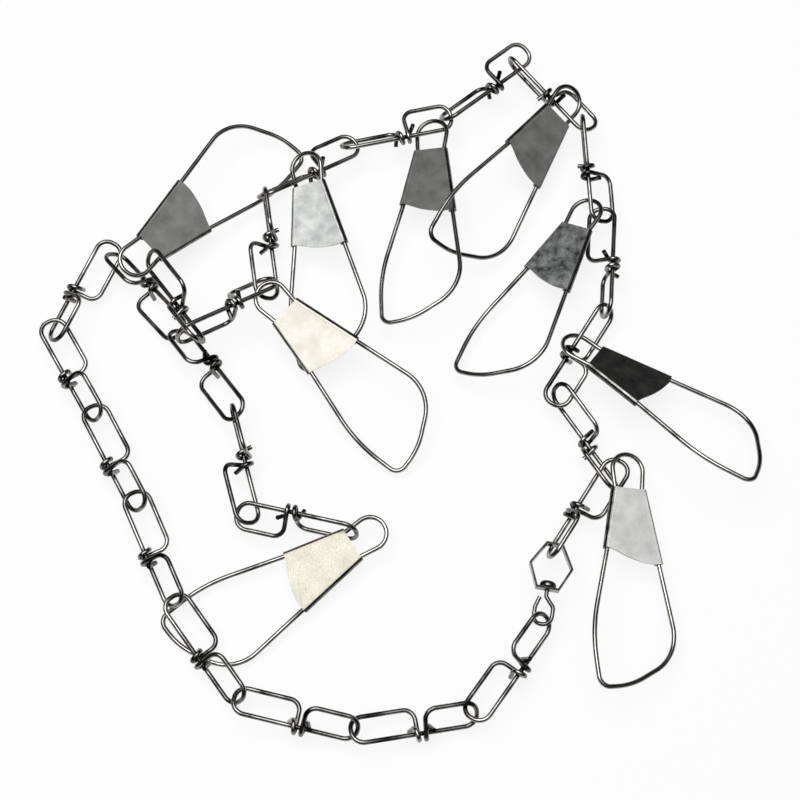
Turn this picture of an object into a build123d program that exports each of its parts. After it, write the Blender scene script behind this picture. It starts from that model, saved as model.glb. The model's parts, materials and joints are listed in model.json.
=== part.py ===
from build123d import *
import math
import os

# Chain link: one wire bent to a head loop and a tail loop that meet in a knot
link_wire = 2.2
loop_width = 12.4
head_reach = 25.3
tail_reach = 31.0
loop_twist = -60
bend_flat = 1.2
shoulder_radius = 5.0
knot_gap = 0.5
coil_ease = 0.2
stub_length = 2.5
joint_gap = 0.4

# Snap: a sprung pin of wire, closed by a folded sheet clasp
snap_wire = 2.2
ring_half = 8.1
ring_top = 17.0
ring_flare = 0.4
ring_radius = 7.6
neck_half = 6.8
neck_radius = 7.0
leg_out = 21.4
leg_rise = 16.7
leg_radius = 20.0
belly_out = 3.4
belly_rise = 1.7
belly_radius = 34.0
heel_out = 18.4
heel_drop = 93.3
heel_radius = 5.0
heel_rise = 6.5
gate_out = 21.3
gate_rise = 25.3
gate_radius = 75.0
gate_tip = 15.0
gate_split = 0.5
clasp_sheet = 0.7
clasp_fit = 0.25
clasp_left = 29.4
clasp_right = 35.0
clasp_left_out = 5.5
clasp_foot = [(9.0, 35.4), (2.0, 34.4), (-3.8, 32.7), (-9.2, 30.4)]
clasp_overcut = 2.0
fold_ease = 0.05
ring_tail = 10.5

# Swivel: a bent strip frame and a headed wire eye that turns in it
strip_thick = 1.0
strip_height = 5.0
frame_top = 10.5
frame_top_half = 3.6
frame_side = 9.6
frame_foot = 10.5
frame_foot_half = 5.0
frame_grip = 0.0
eye_wire = 2.0
eye_fit = 0.4
eye_neck = 3.5
eye_neck_radius = 2.2
eye_shoulder = 5.0
eye_shoulder_radius = 3.0
eye_length = 13.0
eye_width = 8.4
eye_flat = 0.4
eye_stub_gap = 0.8
eye_stub_drop = 0.5
head_diameter = 7.6
head_height = 2.6
head_round = 0.7
head_root = 0.8

# Layout on the ground: (heading, roll of the tail loop, slack, lift of the tail, rise of the head)
swivel_at = Vector(68.8, -83.0, 6.0)
swivel_heading = 79
eye_roll = 15
tether_steps = [
    (-125.5, -15, 1.5, 0, 0.75),
    (-169.5, -15, 2.0, 0, -1.5),
    (167.5, -15, 0.5, 0, 1),
    (126.5, -15, 0.5, 0, -1.25),
    (114.5, -15, 1.0, 0, -1.75),
    (119.0, -15, 6.5, 0, 2.75),
    (120.5, -10, 5.0, 0, 3),
    (63.5, -15, 6.5, 0, -1),
    (-49.0, -15, 4.5, 0, 0.25),
    (-54.5, -25, 0.5, 0, -0.75),
    (-74.5, 35, 2.0, 0, 2),
    (-15.0, -75, 7.0, 0, -0.25),
]
stringer_steps = [
    (57.0, 12, 3.5, 0, -1.25),
    (124.0, 60, 11.0, 0, -0.5),
    (57.0, -55, 7.5, 0, 0.5),
    (85.0, 195, 1.5, 0, -2.5),
    (93.5, -85, 3.5, 0, -0.75),
    (130.0, -80, 5.5, 0, 2.25),
    (-140.5, -50, 7.0, 0, 2.5),
    (-165.5, -50, 1.5, 0, 2.25),
    (-149.0, -60, 5.0, 0, -2),
    (-81.5, 35, 1.0, 0, 0),
    (-148.5, -100, 7.5, 10.8, 1),
    (126.0, 55, 9.5, 3, 0.25),
]

# Snaps: (host branch, host number, spot on the host, spot in the ring, heading, pitch, roll)
snap_steps = {
    "snap_1": ("stringer", 1, (29.6, 10.5, 0), (-0.2, 10.2, 0), -90, 1, -19),
    "snap_2": ("stringer", 3, (6.7, 0, 0), (2.6, 11.7, 0), -34, 1.5, -27),
    "snap_3": ("stringer", 5, (-21, 0.1, -0.1), (2.7, 10.7, 0), -120, 1, 24),
    "snap_4": ("stringer", 6, (-10.7, 0, 0), (2.2, 4.3, 0), -124, -1.5, -35),
    "snap_5": ("stringer", 8, (-14.1, 0, 0), (0, 10.8, 0), -94, 2, 19),
    "snap_6": ("stringer", 9, (8.1, 0, 0), (-2, 4.4, 0), -81, -3, 22),
    "snap_7": ("stringer", 11, (-17.6, 0, 0), (1.5, 13.7, 0), -44, -6.5, 16),
    "snap_8": ("stringer", 12, (31, 5.6, 0), (-2.9, 3.2, 0), 49, -7, 20),
    "end_snap": ("tether", 12, (30.4, 9.4, 0), (-2.2, 3.1, 0), -148, -5, -1),
}


def unit(degrees):
    """Level unit vector at an angle from the X axis."""
    angle = math.radians(degrees)
    return Vector(math.cos(angle), math.sin(angle), 0)


def rounded_edges(corners):
    """Lines and tangent arcs through corners given as (point, bend radius)."""
    edges = []
    here = Vector(*corners[0][0])
    for i in range(1, len(corners) - 1):
        corner = Vector(*corners[i][0])
        into = (corner - Vector(*corners[i - 1][0])).normalized()
        out = (Vector(*corners[i + 1][0]) - corner).normalized()
        half = math.radians(into.get_angle(out)) / 2
        radius = corners[i][1]
        start = corner - into * (radius * math.tan(half))
        end = corner + out * (radius * math.tan(half))
        inward = (out - into).normalized()
        middle = corner + inward * (radius / math.cos(half) - radius)
        edges.append(Edge.make_line(here, start))
        edges.append(Edge.make_three_point_arc(start, middle, end))
        here = end
    edges.append(Edge.make_line(here, Vector(*corners[-1][0])))
    return edges


def wire_solid(corners, diameter):
    """Round wire bent along the corners."""
    edges = rounded_edges(corners)
    path = Wire(edges)
    face = Plane(origin=path @ 0, z_dir=path % 0) * Circle(diameter / 2)
    return sweep(face, path=path)


def half_link(side, reach, leg):
    """Corners of one loop of a link, from the middle of the core to the stub."""
    along = Vector(side, 0, 0)
    across = along.cross(leg)
    wrap = link_wire + knot_gap
    lean = math.asin(wrap / loop_width)
    a = leg * math.cos(lean) - across * math.sin(lean)
    b = leg * math.sin(lean) + across * math.cos(lean)
    bend = (loop_width - bend_flat) / 2
    first = wrap / 2
    corners = [
        (along * reach, bend),
        (along * reach + leg * loop_width, bend),
        (along * first + leg * loop_width, shoulder_radius),
        (along * first - a * wrap + b * wrap, wrap - coil_ease),
        (along * (first + wrap / 3) - a * wrap - b * wrap, wrap - coil_ease),
        (along * (first + 2 * wrap / 3) + a * wrap - b * wrap, wrap - coil_ease),
    ]
    rise = (2 * wrap + stub_length) / (2 * wrap)
    end = along * (first + wrap * (2 + rise) / 3) + a * wrap + b * (wrap + stub_length)
    return corners + [(end, 0)]


def head_leg():
    """Direction of the head loop's leg from the core, in the link."""
    turn = math.radians(loop_twist)
    return Vector(0, math.cos(turn), math.sin(turn))


def link_corners():
    """Corners of the whole link wire: knot on the origin, core along X."""
    head = half_link(-1, head_reach, head_leg())
    tail = half_link(1, tail_reach, Vector(0, 1, 0))
    return head[::-1] + tail


def snap_points():
    """Corner points of the snap wire, ring up, clasp top centre on the origin."""
    right_end = Vector(leg_out, leg_rise - heel_drop, 0)
    belly = Vector(-belly_out, belly_rise - heel_drop, 0)
    heel = Vector(-heel_out, -heel_drop, 0)
    gate_bend = Vector(-gate_out, gate_rise - heel_drop, 0)
    return right_end, belly, heel, gate_bend


def left_rim(drop):
    """Point on the left rim of the clasp, a given way below its top."""
    return Vector(-neck_half - clasp_left_out * drop / clasp_left, -drop, 0)


def right_rim(drop):
    """Point on the right rim of the clasp, a given way below its top."""
    end = snap_points()[0]
    return Vector(neck_half + (end.X - neck_half) * drop / -end.Y, -drop, 0)


def snap_wire_corners():
    """Fixed wire of the snap: ring, right leg, belly and heel."""
    right_end, belly, heel, gate_bend = snap_points()
    up = (gate_bend - heel).normalized()
    stop = heel + up * heel_rise
    return [
        (left_rim(ring_tail), 0),
        (left_rim(0), neck_radius),
        (Vector(-ring_half - ring_flare, ring_top, 0), ring_radius),
        (Vector(ring_half + ring_flare, ring_top, 0), ring_radius),
        (right_rim(0), neck_radius),
        (right_end, leg_radius),
        (belly, belly_radius),
        (heel, heel_radius),
        (stop, 0),
    ]


def gate_corners():
    """Sprung leg of the snap, from just above the heel to its tip in the clasp."""
    right_end, belly, heel, gate_bend = snap_points()
    up = (gate_bend - heel).normalized()
    return [
        (heel + up * (heel_rise + gate_split), 0),
        (gate_bend, gate_radius),
        (left_rim(clasp_left), gate_radius),
        (left_rim(gate_tip), 0),
    ]


def clasp_solid():
    """Folded sheet: a closed tube round the right leg, a hook over the left rim."""
    inner = snap_wire / 2 + clasp_fit
    outer = inner + clasp_sheet
    edge = Polyline(left_rim(clasp_left), left_rim(0), right_rim(0), right_rim(clasp_right))
    foot = [Vector(x, -drop, 0) for x, drop in clasp_foot]
    sweep_down = Spline(right_rim(clasp_right), *foot, left_rim(clasp_left))
    outline = make_face(Wire(edge.edges() + sweep_down.edges()))
    sheet = Pos(0, 0, inner + fold_ease) * extrude(outline, clasp_sheet - 2 * fold_ease)
    tube = rim_tube(right_rim, clasp_right, outer)
    hook = rim_tube(left_rim, clasp_left, outer)
    right_bore = rim_tube(right_rim, clasp_right, inner, clasp_overcut)
    left_bore = rim_tube(left_rim, clasp_left, inner, clasp_overcut)
    mouth_edge = Polyline(
        left_rim(-clasp_overcut),
        right_rim(-clasp_overcut),
        right_rim(clasp_right + clasp_overcut),
        left_rim(clasp_left + clasp_overcut),
        close=True,
    )
    mouth_face = make_face(mouth_edge)
    mouth = Pos(0, 0, inner) * extrude(mouth_face, -2 * outer)
    return sheet + (tube - right_bore) + (hook - left_bore - mouth)


def rim_tube(rim, length, radius, extra=0):
    """Rod along a rim of the clasp."""
    start = rim(-extra)
    end = rim(length + extra)
    rod = Plane(origin=start, z_dir=end - start) * Circle(radius)
    return extrude(rod, (end - start).length)


def frame_solid():
    """Swivel frame: strip bent to a six-sided ring, bored for the eye."""
    outline = Polyline(
        (-frame_top_half, frame_top),
        (frame_top_half, frame_top),
        (frame_side, 0),
        (frame_foot_half, -frame_foot),
        (-frame_foot_half, -frame_foot),
        (-frame_side, 0),
        close=True,
    )
    face = make_face(outline)
    outer = offset(face, strip_thick / 2, kind=Kind.INTERSECTION)
    inner = offset(face, -strip_thick / 2, kind=Kind.INTERSECTION)
    ring = extrude(outer - inner, strip_height / 2, both=True)
    bore = Plane(origin=(0, -frame_foot, 0), z_dir=(0, 1, 0)) * Circle(eye_wire / 2 + eye_fit)
    return ring - extrude(bore, strip_thick * 2, both=True)


def eye_corners():
    """Wire of the swivel eye, from its head to the free end beside the shank."""
    neck = -frame_foot - eye_neck
    foot = neck - eye_length
    half = eye_width / 2
    shoulder = neck - eye_shoulder
    return [
        (Vector(0, -frame_foot + strip_thick / 2 + head_root, 0), 0),
        (Vector(0, neck, 0), eye_neck_radius),
        (Vector(half, shoulder, 0), eye_shoulder_radius),
        (Vector(half, foot, 0), half - eye_flat),
        (Vector(-half, foot, 0), half - eye_flat),
        (Vector(-half, shoulder, 0), eye_shoulder_radius),
        (Vector(-eye_wire - eye_stub_gap, neck - eye_stub_drop, 0), 0),
    ]


def eye_solid():
    """Headed wire eye that turns in the swivel frame."""
    seat = -frame_foot + strip_thick / 2 + eye_fit
    disc = Plane(origin=(0, seat, 0), z_dir=(0, 1, 0)) * Circle(head_diameter / 2)
    head = extrude(disc, head_height)
    head = fillet(head.edges().sort_by(Axis.Y)[-1], head_height * head_round)
    return head + wire_solid(eye_corners(), eye_wire)


def rest_height(*rolls):
    """Height of a joint's centre when its most upright loop stands on the ground."""
    return link_wire / 2 + loop_width / 2 * max(abs(math.sin(math.radians(r))) for r in rolls)


def toward(vector, along, leg):
    """Direction in a loop's plane that lies nearest to a vector."""
    return (along * vector.dot(along) + leg * vector.dot(leg)).normalized()


def place_links(anchor, away, hold, steps):
    """Planes of linked links, each step (heading, tail roll, slack, tail lift, head rise)."""
    planes = []
    half = loop_width / 2
    span = head_reach + tail_reach
    for i, (heading, roll, slack, lift, rise) in enumerate(steps):
        head_roll = roll - loop_twist
        if i + 1 < len(steps):
            height = rest_height(roll, steps[i + 1][1] - loop_twist) + lift
        else:
            height = rest_height(roll) + lift
        swing = half * (math.sin(math.radians(roll)) - math.sin(math.radians(head_roll)))
        pitch = math.asin((height - anchor.Z - rise - swing) / span)
        ahead = unit(heading)
        along = ahead * math.cos(pitch) + Vector(0, 0, math.sin(pitch))
        up = Vector(0, 0, math.cos(pitch)) - ahead * math.sin(pitch)
        side = unit(heading - 90)
        tail_leg = side * math.cos(math.radians(roll)) + up * math.sin(math.radians(roll))
        head_leg_now = side * math.cos(math.radians(head_roll)) + up * math.sin(math.radians(head_roll))
        pull = (away + along).normalized()
        bend = along * (half - head_reach) + head_leg_now * half
        hook = bend + toward(pull * -1, along, head_leg_now) * half
        grip = anchor - pull * (hold + joint_gap + slack) + Vector(0, 0, rise)
        origin = grip - hook
        planes.append(Plane(origin=origin, x_dir=along, z_dir=along.cross(tail_leg)))
        if i + 1 < len(steps):
            pull = (along + unit(steps[i + 1][0])).normalized()
            bend = along * (tail_reach - half) + tail_leg * half
            anchor = origin + bend + toward(pull, along, tail_leg) * half
            away = along
            hold = link_wire
    return planes


def swivel_plane():
    """Frame of the swivel in the layout."""
    return Plane(origin=swivel_at, x_dir=unit(swivel_heading - 90), z_dir=(0, 0, 1))


def eye_plane():
    """Frame of the swivel eye, turned about its shank."""
    base = swivel_plane()
    side = base.x_dir * math.cos(math.radians(eye_roll)) + Vector(0, 0, math.sin(math.radians(eye_roll)))
    return Plane(origin=base.origin, x_dir=side, z_dir=side.cross(base.y_dir))


def tether_links():
    """Links between the swivel eye and the end snap."""
    eye = eye_plane()
    foot = frame_foot + eye_neck + eye_length
    anchor = eye.origin - eye.y_dir * foot
    return place_links(anchor, eye.y_dir * -1, (eye_wire + link_wire) / 2, tether_steps)


def stringer_links():
    """Links between the swivel frame and the last snap."""
    frame = swivel_plane()
    anchor = frame.origin + frame.y_dir * frame_top + frame.x_dir * frame_grip
    return place_links(anchor, frame.y_dir, (strip_thick + link_wire) / 2, stringer_steps)


def snap_plane(host, spot, ring_spot, heading, pitch, roll):
    """Frame of a snap whose ring is threaded on a spot of its host link."""
    ahead = unit(heading)
    down = ahead * math.cos(math.radians(pitch)) + Vector(0, 0, math.sin(math.radians(pitch)))
    level = unit(heading + 90)
    lift = down.cross(level)
    side = level * math.cos(math.radians(roll)) + lift * math.sin(math.radians(roll))
    turned = Plane(origin=(0, 0, 0), x_dir=side, z_dir=side.cross(down * -1))
    place = host.from_local_coords(Vector(*spot)) - turned.from_local_coords(Vector(*ring_spot))
    return Plane(origin=place, x_dir=turned.x_dir, z_dir=turned.z_dir)


def snap_planes():
    """Frames of all snaps in the layout."""
    hosts = {"tether": tether_links(), "stringer": stringer_links()}
    planes = {}
    for name, (branch, number, spot, ring_spot, heading, pitch, roll) in snap_steps.items():
        host = hosts[branch][number - 1]
        planes[name] = snap_plane(host, spot, ring_spot, heading, pitch, roll)
    return planes


def all_nodes():
    """Every piece in its place, before the layout is set on the ground."""
    link = wire_solid(link_corners(), link_wire)
    pin = wire_solid(snap_wire_corners(), snap_wire)
    gate = wire_solid(gate_corners(), snap_wire)
    clasp = clasp_solid()
    nodes = {}
    nodes["swivel_frame"] = swivel_plane() * frame_solid()
    nodes["swivel_eye"] = eye_plane() * eye_solid()
    for branch, planes in (("tether", tether_links()), ("stringer", stringer_links())):
        for i, plane in enumerate(planes):
            nodes[f"{branch}_link_{i + 1:02d}"] = plane * link
    for name, plane in snap_planes().items():
        nodes[f"{name}_wire"] = plane * pin
        nodes[f"{name}_clasp"] = plane * clasp
        nodes[f"{name}_gate"] = plane * gate
    return nodes


def ground_shift(nodes):
    """Move that puts the middle of the layout on the origin and its lowest point at Z 0."""
    boxes = [node.bounding_box() for node in nodes.values()]
    low = [min(tuple(box.min)[i] for box in boxes) for i in range(3)]
    high = [max(tuple(box.max)[i] for box in boxes) for i in range(3)]
    return Vector(-(low[0] + high[0]) / 2, -(low[1] + high[1]) / 2, -low[2])


def main():
    os.makedirs("parts", exist_ok=True)
    nodes = all_nodes()
    shift = Pos(*ground_shift(nodes))
    for name, node in nodes.items():
        export_step(shift * node, f"parts/{name}.step")


if __name__ == "__main__":
    main()
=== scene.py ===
# %% [markdown]
# # Looks of a chain fish stringer
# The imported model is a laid-out chain: knotted wire links, a swivel, and safety-pin snaps.
# This file gives every piece its nickel finish, closes the sprung legs onto their wires,
# and sets the chain on a pale floor under soft light.
# Loading the frame comes first, because every piece keeps the place that it has there.

# %% Load the frame
import bpy
import json
import math
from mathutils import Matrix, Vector


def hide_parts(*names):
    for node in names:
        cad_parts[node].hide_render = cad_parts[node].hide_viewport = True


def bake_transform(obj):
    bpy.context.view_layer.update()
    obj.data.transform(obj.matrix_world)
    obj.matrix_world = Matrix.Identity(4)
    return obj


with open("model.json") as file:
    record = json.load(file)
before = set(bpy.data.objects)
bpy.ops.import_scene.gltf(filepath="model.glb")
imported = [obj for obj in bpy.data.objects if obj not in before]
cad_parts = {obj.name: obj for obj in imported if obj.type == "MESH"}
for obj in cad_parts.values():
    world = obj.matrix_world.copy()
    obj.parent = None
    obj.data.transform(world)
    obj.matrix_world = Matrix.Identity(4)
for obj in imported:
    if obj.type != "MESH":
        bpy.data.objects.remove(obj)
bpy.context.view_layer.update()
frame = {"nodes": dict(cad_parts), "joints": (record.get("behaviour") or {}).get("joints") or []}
MM = 0.001
print("pieces in the frame:", len(frame["nodes"]))

# %% [markdown]
# ## Smooth shading
# The wires are round, so their facets should shade as one smooth surface, while the cut ends
# and the edges of the sheet stay crisp. Marking edges as sharp above an angle does both,
# and leaves every corner of the mesh where it is.

# %% Shade the wires smooth
CRISP_ANGLE = math.radians(40)


def shade_smooth(mesh):
    """Smooth shading, with edges kept crisp where two faces meet at a clear angle."""
    mesh.shade_smooth()
    mesh.set_sharp_from_angle(angle=CRISP_ANGLE)


for node in frame["nodes"].values():
    shade_smooth(node.data)
print("pieces shaded smooth:", len(frame["nodes"]))

# %% [markdown]
# ## Nickel finishes
# Nickel plate is a metal, so almost all of its look is reflection. What tells plate from a
# perfect mirror is small: the plating clouds from place to place, painted shade darkens the
# crevices, and fine scratches catch the light. Each of the three gets a helper of its own, so
# that it can be changed without the others.
#
# The clouds come first. An image could hold them, but it would need unwrapped surfaces. A noise
# texture needs none, and a colour ramp spreads it between a dark and a bright tone.

# %% Clouds that drift between two tones
CLOUD_LOW = 0.35
CLOUD_HIGH = 0.65
print("noise levels at the two tones:", CLOUD_LOW, CLOUD_HIGH)


def cloud_tone(tree, place, dark, bright, size):
    """Colour that drifts between a dark and a bright tone in clouds of a given size."""
    clouds = tree.nodes.new("ShaderNodeTexNoise")
    clouds.inputs["Scale"].default_value = 1 / size
    clouds.inputs["Detail"].default_value = 6
    clouds.inputs["Roughness"].default_value = 0.6
    tree.links.new(place.outputs["Object"], clouds.inputs["Vector"])
    tone = tree.nodes.new("ShaderNodeValToRGB")
    low, high = tone.color_ramp.elements
    low.position = CLOUD_LOW
    low.color = (*dark, 1)
    high.position = CLOUD_HIGH
    high.color = (*bright, 1)
    tree.links.new(clouds.outputs["Fac"], tone.inputs["Fac"])
    return tone.outputs["Color"]


# %% [markdown]
# ## Painted shade
# Shade falls where wires lie close together, as in the knots, and this helper paints that shade
# into the colour. It could be painted on piece by piece. An Ambient Occlusion node finds such
# places by itself, and a power makes them darker. It looks at one piece alone, so the tone stays
# when a joint moves a neighbour away.

# %% Painted shade in the crevices
# Painted shade: near-black mixed into the colour up to this distance from close wires.
PAINTED_SHADE_REACH = 2.5 * MM
PAINTED_SHADE_DEPTH = 2.0
PAINTED_SHADE_COLOUR = (0.004, 0.004, 0.004, 1)
print("grime reach in metres:", PAINTED_SHADE_REACH)


def with_painted_shade(tree, tone):
    """The tone, with painted shade where other parts of the same piece lie close."""
    crevice = tree.nodes.new("ShaderNodeAmbientOcclusion")
    crevice.only_local = True
    crevice.samples = 8
    crevice.inputs["Distance"].default_value = PAINTED_SHADE_REACH
    painted_shade = tree.nodes.new("ShaderNodeMath")
    painted_shade.operation = "POWER"
    painted_shade.inputs[1].default_value = PAINTED_SHADE_DEPTH
    tree.links.new(crevice.outputs["AO"], painted_shade.inputs[0])
    shaded_tone = tree.nodes.new("ShaderNodeMix")
    shaded_tone.data_type = "RGBA"
    shaded_tone.inputs["A"].default_value = PAINTED_SHADE_COLOUR
    tree.links.new(painted_shade.outputs[0], shaded_tone.inputs["Factor"])
    tree.links.new(tone, shaded_tone.inputs["B"])
    return shaded_tone.outputs["Result"]


# %% [markdown]
# ## Grain
# Handling leaves fine scratches, a few hundredths of a millimetre deep. That is too fine to be
# worth cutting into the mesh, so one small noise moves the roughness and gives a slight bump.

# %% Fine grain in the polish
GRAIN_LOW = 0.3
GRAIN_HIGH = 0.7
GRAIN_STRENGTH = 0.25
print("grain strength:", GRAIN_STRENGTH)


def add_grain(tree, place, metal, size, depth, rough_low, rough_high):
    """Fine grain that moves the roughness between two levels and gives a slight bump."""
    grain = tree.nodes.new("ShaderNodeTexNoise")
    grain.inputs["Scale"].default_value = 1 / size
    grain.inputs["Detail"].default_value = 4
    tree.links.new(place.outputs["Object"], grain.inputs["Vector"])
    polish = tree.nodes.new("ShaderNodeMapRange")
    polish.inputs["From Min"].default_value = GRAIN_LOW
    polish.inputs["From Max"].default_value = GRAIN_HIGH
    polish.inputs["To Min"].default_value = rough_low
    polish.inputs["To Max"].default_value = rough_high
    tree.links.new(grain.outputs["Fac"], polish.inputs["Value"])
    tree.links.new(polish.outputs["Result"], metal.inputs["Roughness"])
    bump = tree.nodes.new("ShaderNodeBump")
    bump.inputs["Strength"].default_value = GRAIN_STRENGTH
    bump.inputs["Distance"].default_value = depth
    tree.links.new(grain.outputs["Fac"], bump.inputs["Height"])
    tree.links.new(bump.outputs["Normal"], metal.inputs["Normal"])


# %% [markdown]
# ## Plated metal
# The three helpers meet in one Principled BSDF. Each finish could be set up by hand, but one
# function keeps them alike, with only the tones, sizes and roughness to choose. The wires are
# all metal. A lower shine lets dull sheet show its base colour more than what it reflects; on
# the clasps that base colour is a painted reflection.

# %% Plated metal from the three helpers


def plated_metal(name, dark, bright, cloud_size, rough_low, rough_high, grain_size, grain_depth,
                 shine=1.0):
    """Metal whose tone and polish drift between two levels, with a fine grain."""
    finish = bpy.data.materials.new(name)
    finish.use_nodes = True
    tree = finish.node_tree
    metal = tree.nodes["Principled BSDF"]
    metal.inputs["Metallic"].default_value = shine
    place = tree.nodes.new("ShaderNodeTexCoord")
    tone = cloud_tone(tree, place, dark, bright, cloud_size)
    # The tone gets painted shade in its crevices before it becomes the base colour.
    tree.links.new(with_painted_shade(tree, tone), metal.inputs["Base Color"])
    add_grain(tree, place, metal, grain_size, grain_depth, rough_low, rough_high)
    print("finish made:", name)
    return finish


def dress(piece, finish):
    """Give a piece one finish all over."""
    piece.data.materials.clear()
    piece.data.materials.append(finish)


# %% [markdown]
# ## Links, snap wires and swivel
# The links and the snaps are bent from the same plated steel wire. The links are a shade darker,
# with smaller clouds, because they rub against each other, and the small swivel is duller still.
# One finish for each of these is enough, because every piece of a kind wears alike.

# %% Finish the wires and the swivel
link_finish = plated_metal(
    "link nickel", (0.030, 0.029, 0.028), (0.36, 0.35, 0.335), 14 * MM, 0.10, 0.26, 0.7 * MM, 0.03 * MM)
snap_finish = plated_metal(
    "snap nickel", (0.070, 0.069, 0.066), (0.43, 0.42, 0.40), 22 * MM, 0.08, 0.22, 0.8 * MM, 0.02 * MM)
swivel_finish = plated_metal(
    "swivel nickel", (0.07, 0.069, 0.067), (0.26, 0.255, 0.245), 8 * MM, 0.10, 0.26, 0.7 * MM, 0.03 * MM)

for name, node in frame["nodes"].items():
    if "_link_" in name:
        dress(node, link_finish)
    elif name.startswith("swivel"):
        dress(node, swivel_finish)
    elif name.endswith("_wire"):
        dress(node, snap_finish)

# %% [markdown]
# ## Cut edges of the swivel strip
# The swivel frame is cut from flat strip, so its narrow edges are raw steel and darker than the
# plated faces. A second material slot shows that without any change to the mesh. The frame lies
# flat, so the faces that look straight up or down are the edges.

# %% Darken the cut edges
EDGE_UPRIGHT = 0.8
cut_edge = plated_metal(
    "cut edge", (0.012, 0.012, 0.012), (0.060, 0.059, 0.057), 4 * MM, 0.30, 0.50, 0.5 * MM, 0.03 * MM)
strip = frame["nodes"]["swivel_frame"].data
strip.materials.append(cut_edge)
for face in strip.polygons:
    face.material_index = 1 if abs(face.normal.z) > EDGE_UPRIGHT else 0
print("cut edge faces:", sum(face.material_index for face in strip.polygons))

# %% [markdown]
# ## Clasps
# Each clasp is folded from sheet. Sheet shows one broad tone where wire shows many thin ones.
# The clasps are all of one metal, and their tones, from almost cream, through greys, to nearly
# black with a finer mottle, are painted reflection: each stands for the part of the room that
# the clasp reflects. Each gets its own pair of tones for the clouds to drift between.
# The rolled rims and cut edges bend away from the flat sheet, so they mirror other parts of the
# room and read as dark lines. That dark is painted: faces that lean from the sheet's own
# direction get a dark colour as painted shade and painted reflection.

# %% Finish the clasps
# Painted reflection: each clasp's dark and bright tone stand for the part of the room it reflects.
CLASP_PAINTED_TONES = {
    "snap_1": ((0.72, 0.73, 0.71), (0.94, 0.95, 0.93)),
    "snap_2": ((0.0005, 0.0005, 0.0005), (0.026, 0.025, 0.023)),
    "snap_3": ((0.022, 0.024, 0.0235), (0.31, 0.32, 0.315)),
    "snap_4": ((0.16, 0.16, 0.157), (0.27, 0.27, 0.265)),
    "snap_5": ((0.12, 0.12, 0.117), (0.20, 0.20, 0.195)),
    "snap_6": ((0.52, 0.54, 0.53), (0.88, 0.89, 0.87)),
    "snap_7": ((0.66, 0.635, 0.555), (0.80, 0.775, 0.70)),
    "snap_8": ((0.14, 0.14, 0.137), (0.23, 0.23, 0.225)),
    "end_snap": ((0.55, 0.52, 0.43), (0.66, 0.63, 0.535)),
}
MOTTLED = {"snap_2", "snap_3"}
MOTTLE_SIZE = 5 * MM
CLOUD_SIZE = 8 * MM
SHEET_SHINE = 0.3
RIM_LEAN = 0.95
# Painted shade and painted reflection: a dark colour for the rims and cut edges of the clasps.
rim_painted_shade = plated_metal(
    "rolled rim", (0.05, 0.05, 0.048), (0.24, 0.235, 0.225), 6 * MM, 0.14, 0.30, 0.6 * MM, 0.02 * MM)


def mark_rims(mesh):
    """Give the rolled rims and cut edges of a clasp their dark painted shade and reflection."""
    flat = max(mesh.polygons, key=lambda face: face.area).normal.copy()
    mesh.materials.append(rim_painted_shade)
    for face in mesh.polygons:
        face.material_index = 0 if abs(face.normal.dot(flat)) > RIM_LEAN else 1


for snap, (dark, bright) in CLASP_PAINTED_TONES.items():
    clasp = frame["nodes"][snap + "_clasp"]
    patch = MOTTLE_SIZE if snap in MOTTLED else CLOUD_SIZE
    sheet = plated_metal(
        snap + " sheet", dark, bright, patch, 0.40, 0.60, 0.5 * MM, 0.02 * MM, shine=SHEET_SHINE)
    dress(clasp, sheet)
    mark_rims(clasp.data)
print("clasps finished:", len(CLASP_PAINTED_TONES))

# %% [markdown]
# ## Sprung legs
# On the real snap the sprung leg and the rest of the wire are one piece that bends at the heel.
# The frame has a hairline gap there for its hinge.

# %% Close the sprung legs onto their wires
END_REACH = 1.25 * MM
hinges = {joint["child"]: Vector(joint["pos_m"]) for joint in frame["joints"]}


def spring_leg(snap):
    """The sprung leg of one snap, drawn down to the wire's cut end."""
    gate = frame["nodes"][snap + "_gate"]
    pivot = hinges[snap + "_gate"]
    leg = bpy.data.objects.new(snap + "_spring_leg", gate.data.copy())
    bpy.context.scene.collection.objects.link(leg)
    end = [v for v in leg.data.vertices if (v.co - pivot).length < END_REACH]
    middle = sum((v.co for v in end), Vector()) / len(end)
    away = (middle - pivot).normalized()
    drop = 2 * (middle - pivot).length
    for v in end:
        v.co -= away * drop
    dress(leg, snap_finish)
    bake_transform(leg)
    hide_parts(snap + "_gate")
    return leg


spring_legs = [spring_leg(snap) for snap in CLASP_PAINTED_TONES]
print("sprung legs closed:", len(spring_legs))

# %% [markdown]
# ## Floor
# The chain lies on plain white. The floor is white by its own colour, and shows a little of the
# light that falls on it, so the wires keep a faint shadow. Brighter lamps could make it white as
# well, but they would bleach the metal too. Light Path tells the shader when the floor is seen
# straight, in a reflection or through glass, and only then does it glow.

# %% Lay the floor
FLOOR_SIDE = 6.0
FLOOR_GLOW = 0.86


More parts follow.
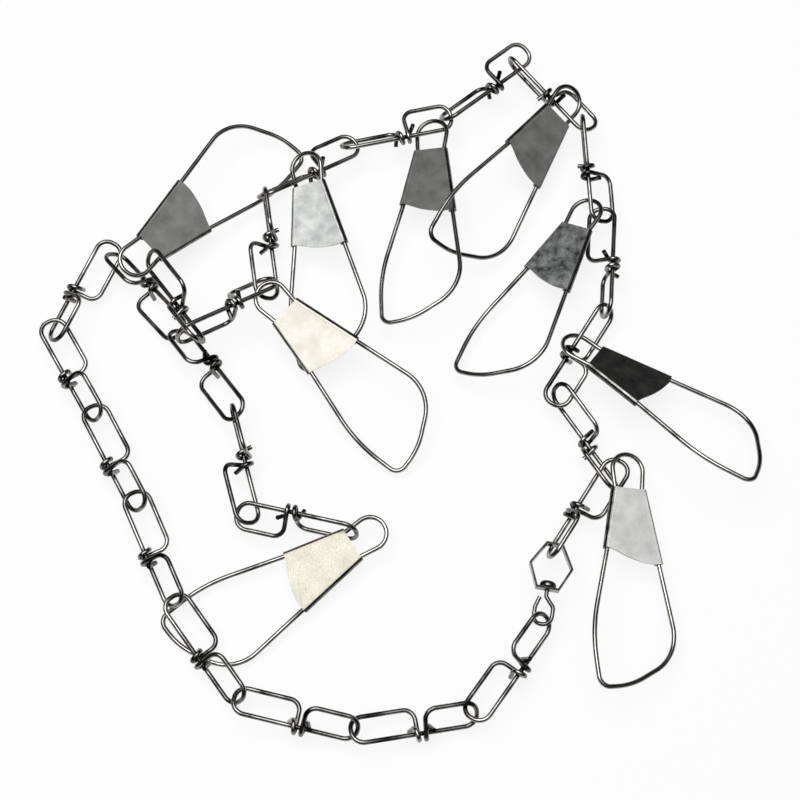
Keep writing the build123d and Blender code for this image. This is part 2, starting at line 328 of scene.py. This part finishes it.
def floor_finish():
    """White that glows when seen, and still takes a faint shadow."""
    finish = bpy.data.materials.new("white floor")
    finish.use_nodes = True
    nodes = finish.node_tree.nodes
    links = finish.node_tree.links
    paper = nodes["Principled BSDF"]
    paper.inputs["Base Color"].default_value = (0.93, 0.93, 0.93, 1)
    paper.inputs["Roughness"].default_value = 0.9
    glow = nodes.new("ShaderNodeEmission")
    glow.inputs["Color"].default_value = (1, 1, 1, 1)
    path = nodes.new("ShaderNodeLightPath")
    seen = nodes.new("ShaderNodeMath")
    seen.operation = "MAXIMUM"
    links.new(path.outputs["Is Camera Ray"], seen.inputs[0])
    links.new(path.outputs["Is Glossy Ray"], seen.inputs[1])
    through = nodes.new("ShaderNodeMath")
    through.operation = "MAXIMUM"
    links.new(seen.outputs[0], through.inputs[0])
    links.new(path.outputs["Is Transmission Ray"], through.inputs[1])
    share = nodes.new("ShaderNodeMath")
    share.operation = "MULTIPLY"
    share.inputs[1].default_value = FLOOR_GLOW
    links.new(through.outputs[0], share.inputs[0])
    mix = nodes.new("ShaderNodeMixShader")
    links.new(share.outputs[0], mix.inputs["Fac"])
    links.new(paper.outputs["BSDF"], mix.inputs[1])
    links.new(glow.outputs["Emission"], mix.inputs[2])
    links.new(mix.outputs["Shader"], nodes["Material Output"].inputs["Surface"])
    return finish


half = FLOOR_SIDE / 2
floor_mesh = bpy.data.meshes.new("floor")
floor_corners = [(-half, -half, 0), (half, -half, 0), (half, half, 0), (-half, half, 0)]
floor_mesh.from_pydata(floor_corners, [], [(0, 1, 2, 3)])
floor = bpy.data.objects.new("floor", floor_mesh)
bpy.context.scene.collection.objects.link(floor)
dress(floor, floor_finish())
print("floor side in metres:", FLOOR_SIDE)

# %% [markdown]
# ## Light
# Round metal shows its whole surroundings in one thin streak, so the surroundings draw it.
# A bright ceiling gives each wire its pale middle line, a dim band above the horizon gives the
# two dark lines beside it, and the white floor lights the rims. The band is a colour ramp on
# the height of the sky, and one soft lamp overhead adds the shadows. Seen straight past the
# floor's edge the sky is white, so every picture keeps a white background.

# %% Set the sky and the lamp
world = bpy.data.worlds.new("studio")
bpy.context.scene.world = world
world.use_nodes = True
sky_nodes = world.node_tree.nodes
sky_links = world.node_tree.links
direction = sky_nodes.new("ShaderNodeTexCoord")
height = sky_nodes.new("ShaderNodeSeparateXYZ")
sky_links.new(direction.outputs["Generated"], height.inputs["Vector"])
sky = sky_nodes.new("ShaderNodeValToRGB")
SKY_STEPS = [(0.00, 0.05), (0.30, 0.03), (0.70, 0.05), (0.84, 0.45), (0.93, 1.15), (1.00, 1.25)]
ramp = sky.color_ramp
while len(ramp.elements) < len(SKY_STEPS):
    ramp.elements.new(0.5)
for element, (position, level) in zip(ramp.elements, SKY_STEPS):
    element.position = position
    element.color = (level, level, level, 1)
sky_links.new(height.outputs["Z"], sky.inputs["Fac"])
background = sky_nodes["Background"]
seen_straight = sky_nodes.new("ShaderNodeLightPath")
backdrop = sky_nodes.new("ShaderNodeMix")
backdrop.data_type = "RGBA"
backdrop.inputs["B"].default_value = (1, 1, 1, 1)
sky_links.new(seen_straight.outputs["Is Camera Ray"], backdrop.inputs["Factor"])
sky_links.new(sky.outputs["Color"], backdrop.inputs["A"])
sky_links.new(backdrop.outputs["Result"], background.inputs["Color"])
background.inputs["Strength"].default_value = 1.0

LAMP_WIDTH = 1.2
LAMP_POWER = 14
LAMP_PLACE = (-0.25, 0.15, 1.4)
lamp_data = bpy.data.lights.new("overhead", "AREA")
lamp_data.shape = "DISK"
lamp_data.size = LAMP_WIDTH
lamp_data.energy = LAMP_POWER
lamp = bpy.data.objects.new("overhead", lamp_data)
lamp.location = LAMP_PLACE
lamp.rotation_euler = (-lamp.location).to_track_quat("-Z", "Y").to_euler()
bpy.context.scene.collection.objects.link(lamp)
print("lamp power in watts:", LAMP_POWER)

# %% [markdown]
# ## Camera
# The picture looks down steeply, seventy degrees above the floor, from a little under a metre.
# The lens follows from the width that the picture takes in at that distance.

# %% Place the camera
AIM = Vector((2.48, -12.64, 8.38)) * MM
CAMERA_RISE = math.radians(70)
CAMERA_DISTANCE = 824.6 * MM
PICTURE_WIDTH = 380 * MM

camera_data = bpy.data.cameras.new("camera")
camera_data.sensor_fit = "HORIZONTAL"
camera_data.angle = 2 * math.atan(PICTURE_WIDTH / 2 / CAMERA_DISTANCE)
camera = bpy.data.objects.new("camera", camera_data)
outward = Vector((0, -math.cos(CAMERA_RISE), math.sin(CAMERA_RISE)))
camera.location = AIM + outward * CAMERA_DISTANCE
camera.rotation_euler = (-outward).to_track_quat("-Z", "Y").to_euler()
bpy.context.scene.collection.objects.link(camera)
bpy.context.scene.camera = camera
bpy.context.scene.view_settings.view_transform = "Standard"
print("camera at:", [round(value, 3) for value in camera.location])

# %% Finish
print("scene finished")
